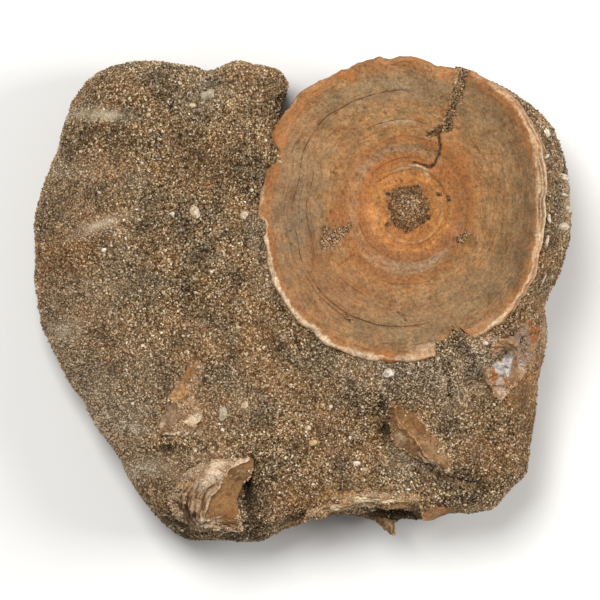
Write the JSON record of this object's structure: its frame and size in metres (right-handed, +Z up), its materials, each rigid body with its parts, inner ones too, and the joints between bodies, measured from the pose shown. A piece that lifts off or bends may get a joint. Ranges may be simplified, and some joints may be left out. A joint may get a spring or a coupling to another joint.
{
  "type": "fossil shark vertebra in rock matrix",
  "caption": "Round biconcave shark vertebra with growth rings, half sunk in a block of sandy phosphate rock with smaller bone fragments around it; lies flat on its underside",
  "frame": {"origin": "middle of the footprint, on the surface that the flat underside rests on", "axes": "+X along the block towards the vertebra's raised side, +Y across it towards the vertebra, +Z up out of the vertebra's face"},
  "size_m": [0.1135, 0.1021, 0.0408],
  "materials": {
    "sandy_rock": "matte",
    "ringed_bone": "satin",
    "pale_bone": "matte",
    "brown_bone": "matte",
    "mottled_bone": "matte"
  },
  "bodies": {
    "root": {"matrix": "sandy_rock", "vertebra": "ringed_bone", "center_sand_plug": "sandy_rock", "crack_sand_fill": "sandy_rock", "small_centrum_fragment": "pale_bone", "bone_flake": "brown_bone", "bone_splinter": "brown_bone", "edge_bone": "mottled_bone", "bone_plate": "pale_bone", "tan_bone_chip": "pale_bone", "pointed_bone_chip": "pale_bone"}
  },
  "joints": []
}
